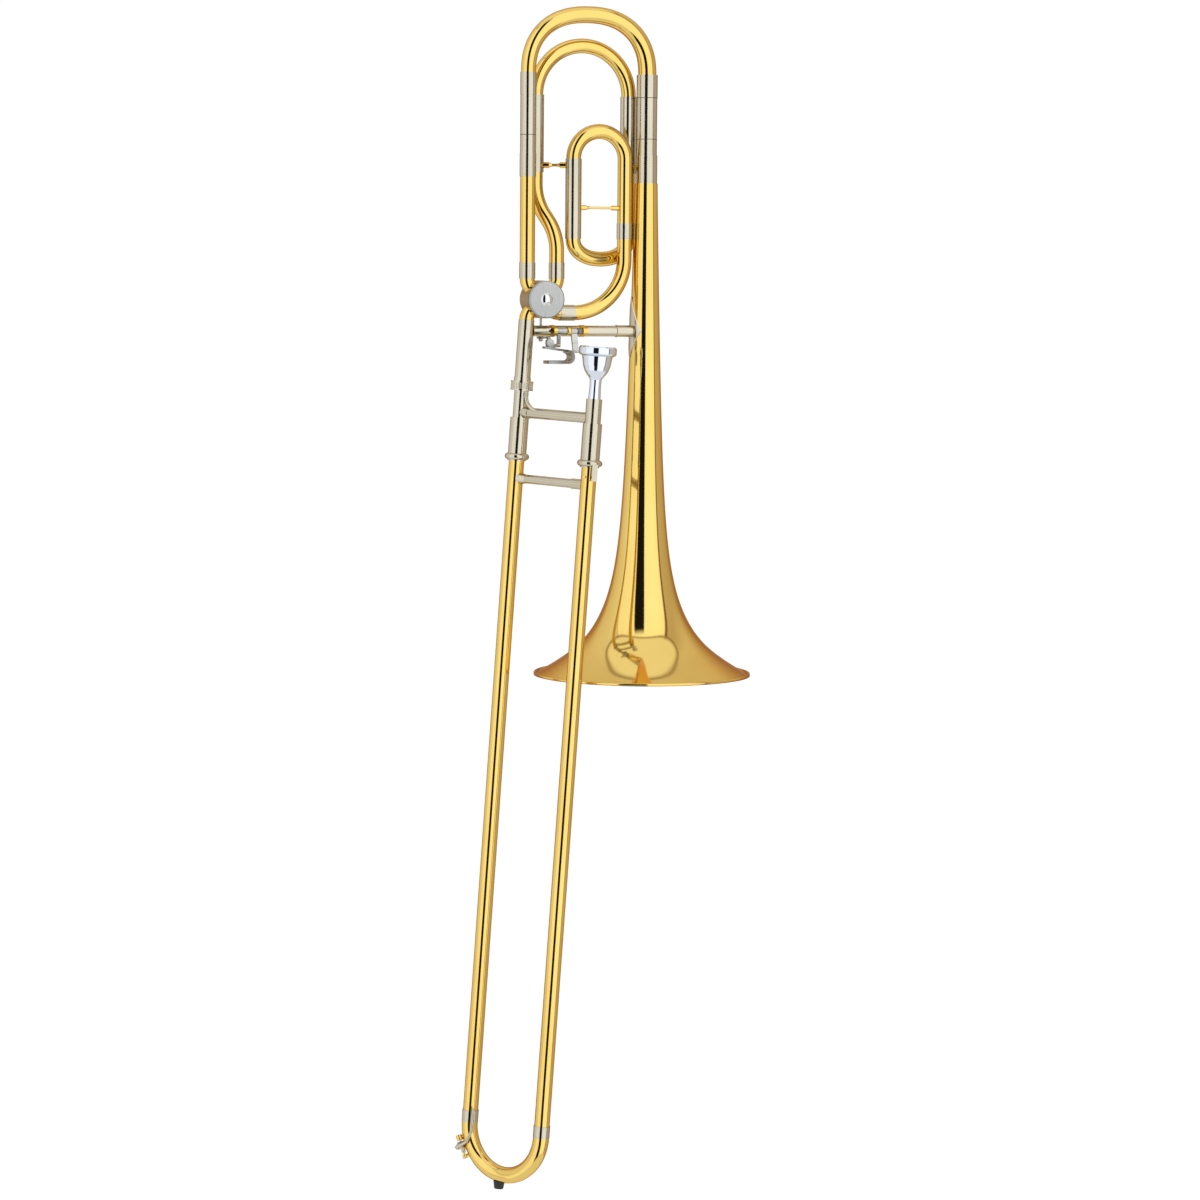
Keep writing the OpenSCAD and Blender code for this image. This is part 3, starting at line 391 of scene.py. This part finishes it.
def bell_radius(z):
    """Outside radius at height z above the mouth."""
    def cone(at):
        return BELL_TAIL_R + CONE_GROWTH * (max(BELL_LEN - at, 0) / 100) ** CONE_POWER

    def swell(at):
        return SWELL * math.exp(-((at - SWELL_Z) / SWELL_Z) ** 2)

    flare = (BELL_MOUTH_R - cone(0) - swell(0)) * (1 + z / FLARE_LEN) ** FLARE_POWER
    return cone(z) + swell(z) + flare


def bell_piece(name, node, low, high, steps):
    """A smooth spun length of the bell."""
    first = (low / BELL_LEN) ** (1 / RING_POWER)
    last = (high / BELL_LEN) ** (1 / RING_POWER)
    rings = []
    for i in range(steps + 1):
        z = BELL_LEN * (first + (last - first) * i / steps) ** RING_POWER
        rings.append((UP * (z * MM), ACROSS, DEEP, bell_radius(z) * MM))
    tube(name, rings, BELL_WALL * MM, "brass_lacquer", node, sides=192)


bell_piece("bell_flare", "bell", 0.0, BELL_SEAM, steps=160)
bell_piece("bell_tail", "bell_stem", BELL_SEAM, BELL_LEN, steps=80)


def oval_bow(start, end, rise, power, start_r, end_r, steps=96):
    """Rings along a flattened bow that goes rise up between start and end, or down if rise is negative.

    At power 2 it is an ellipse, and above that it is squarer.
    """
    across = (end - start) / 2
    half_width = across.length
    along = across.normalized()
    lift = UP if rise > 0 else -UP
    tall = abs(rise)
    side = along.cross(lift)
    rings = []
    for i in range(steps + 1):
        a = math.pi - math.pi * i / steps
        if 0 < i < steps:
            x = math.copysign(abs(math.cos(a)) ** (2 / power), math.cos(a))
            z = math.sin(a) ** (2 / power)
        else:
            x = 1 if i else -1
            z = 0.0
        out_x = math.copysign(abs(x) ** (power - 1), x) / half_width
        out = along * out_x + lift * (z ** (power - 1) / tall)
        centre = start + across + along * (half_width * x) + lift * (tall * z)
        rings.append((centre, out.normalized(), side, start_r + (end_r - start_r) * i / steps))
    return rings


NECK_R = 7.5 * MM
BELL_SIDE_R = 9.2 * MM
MAIN_WALL = 0.8 * MM
MAIN_POWER = 2.3
lo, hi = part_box("main_bow")
main_rings = oval_bow(
    Vector((lo.x + NECK_R, 0, lo.z)), Vector((hi.x - BELL_SIDE_R, 0, lo.z)),
    hi.z - lo.z - (NECK_R + BELL_SIDE_R) / 2, MAIN_POWER, NECK_R, BELL_SIDE_R)
tube("bow_shell", main_rings, MAIN_WALL, "brass_lacquer", "main_bow")

WRAP_R = 7.4 * MM
WRAP_WALL = 0.45 * MM
LOOP_POWER = 2.15
lo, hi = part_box("bottom_bow")
loop_rings = oval_bow(
    Vector((lo.x + WRAP_R, lo.y + WRAP_R, hi.z)), Vector((hi.x - WRAP_R, hi.y - WRAP_R, hi.z)),
    -(hi.z - lo.z - WRAP_R), LOOP_POWER, WRAP_R, WRAP_R)
tube("loop_shell", loop_rings, WRAP_WALL, "brass_lacquer", "bottom_bow")


def crook_rings(start, end, turn, middle, steps=24):
    """Rings along a double bend that leaves and arrives upright.

    It bends by turn and back, with a straight of length middle between.
    """
    flat = Vector((end.x - start.x, end.y - start.y, 0))
    reach = flat.length
    along = flat.normalized()
    side = along.cross(UP)
    turn_r = (reach - middle * math.sin(turn)) / (2 - 2 * math.cos(turn))
    half_h = (end.z - start.z) / 2
    straight = half_h - turn_r * math.sin(turn) - middle / 2 * math.cos(turn)
    low = [(0, 0, 0)]
    for i in range(steps + 1):
        a = turn * i / steps
        low.append((turn_r * (1 - math.cos(a)), straight + turn_r * math.sin(a), a))
    high = [(reach - x, 2 * half_h - z, a) for x, z, a in reversed(low)]
    return [(start + along * x + UP * z, along * math.cos(a) - UP * math.sin(a), side, WRAP_R)
            for x, z, a in low + high]


CROOK_TURN = math.radians(36)
CROOK_MIDDLE = 8 * MM
lo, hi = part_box("f_crook")
bends = crook_rings(
    Vector((hi.x - WRAP_R, lo.y + WRAP_R, lo.z)), Vector((lo.x + WRAP_R, hi.y - WRAP_R, hi.z)),
    CROOK_TURN, CROOK_MIDDLE)
tube("crook_shell", bends, WRAP_WALL, "brass_lacquer", "f_crook")

COIL_STEPS = 28  # rings in each turn
WIRE_WALL = 0.9  # as a share of the wire's radius


def coil(name, node, way, turns, coil_r, wire_r, length):
    """A helical spring in place of a node's stack of rings, centred on its box."""
    lo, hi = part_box(node)
    middle = (lo + hi) / 2
    out = way.orthogonal().normalized()
    other = way.cross(out)
    steps = COIL_STEPS * turns
    rings = []
    for i in range(steps + 1):
        a = 2 * math.pi * turns * i / steps
        radial = out * math.cos(a) + other * math.sin(a)
        rings.append((middle + radial * coil_r + way * (length * (i / steps - 0.5)), radial, way, wire_r))
    tube(name, rings, wire_r * WIRE_WALL, "spring_wire", node, sides=12)


key_way = Vector(joint("drain_key_press")["axis"]).normalized()
coil("lever_coil", "lever_spring", ACROSS, turns=5, coil_r=3.0 * MM, wire_r=0.45 * MM, length=4.4 * MM)
coil("key_coil", "water_key_spring", key_way, turns=3, coil_r=2.7 * MM, wire_r=0.33 * MM, length=2.1 * MM)

# Rings of painted shade in the seams between the sleeves of the main slide, a near-black metal where the
# crevices fall in shade, each at a share of its sleeve's height.
# A profile row is a ring's height above the joint's lower edge, and how far it is sunk, in millimetres.
JOINT_SHADES = (("bell_joint_shade_high", "bell_leg", 1.0), ("bell_joint_shade_low", "bell_leg", 0.28),
          ("neck_joint_shade", "neck_leg", 0.32))
JOINT_PROFILE = ((0, 0.04), (0.1, 0), (0.5, 0), (0.6, 0.04))
JOINT_PROUD = 0.05 * MM
JOINT_HALF = 0.3 * MM
JOINT_WALL = 0.3 * MM
for name, node, share in JOINT_SHADES:
    lo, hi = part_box(node)
    radius = (hi.x - lo.x) / 2 + JOINT_PROUD
    level = lo.z + share * (hi.z - lo.z) - JOINT_HALF
    rings = [(Vector(((lo.x + hi.x) / 2, (lo.y + hi.y) / 2, level + up_by * MM)), ACROSS, DEEP,
              radius - sunk * MM) for up_by, sunk in JOINT_PROFILE]
    tube(name, rings, JOINT_WALL, "nickel_silver", node, finish=painted_joint_shade, replace=False)

# The brass collar beside the lever's arm, round the lever's barrel. A row is (x, radius) in millimetres.
COLLAR = ((0.0, 3.35), (0.0, 3.9), (0.6, 4.3), (1.4, 4.45), (3.0, 4.45), (3.8, 4.3), (4.4, 3.9), (4.4, 3.35))
COLLAR_INSET = 10.6 * MM  # from the collar's left end to the lever's right end
COLLAR_WALL = 0.05 * MM
collar_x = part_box("thumb_lever")[1].x - COLLAR_INSET
hinge = joint("trigger")["pos_m"]
centre = Vector((0, hinge[1], hinge[2]))
rings = [(centre + Vector((collar_x + x * MM, 0, 0)), DEEP, UP, r * MM) for x, r in COLLAR]
tube("lever_collar", rings, COLLAR_WALL, "brass_lacquer", "thumb_lever", replace=False)

# ---------------------------------------------------------------- floor
FLOOR_GAP = 10 * MM
FLOOR_DROP = joint("hand_slide")["range_m"][1] + FLOOR_GAP  # clear of the hand slide at its full reach
FLOOR_R = 14
bpy.ops.mesh.primitive_circle_add(
    vertices=96, radius=FLOOR_R, fill_type="NGON", location=(0, 0, cad_box[0].z - FLOOR_DROP))
floor = bpy.context.object
floor.name = "floor"
mat, t, where = material("pale_floor")
tone = t.mix(t.noise(where, 3.0, 4.0), grey(0.84), grey(0.88))
t.add("ShaderNodeOutputMaterial", {0: t.add("ShaderNodeBsdfPrincipled", {
    "Base Color": tone, "Roughness": 0.9, "Specular IOR Level": 0.0,
    "Emission Color": (1, 1, 1, 1), "Emission Strength": 0.16})})
floor.data.materials.append(mat)
floor.visible_glossy = False  # the polished tubes mirror the tent down to the ground, not the lit floor
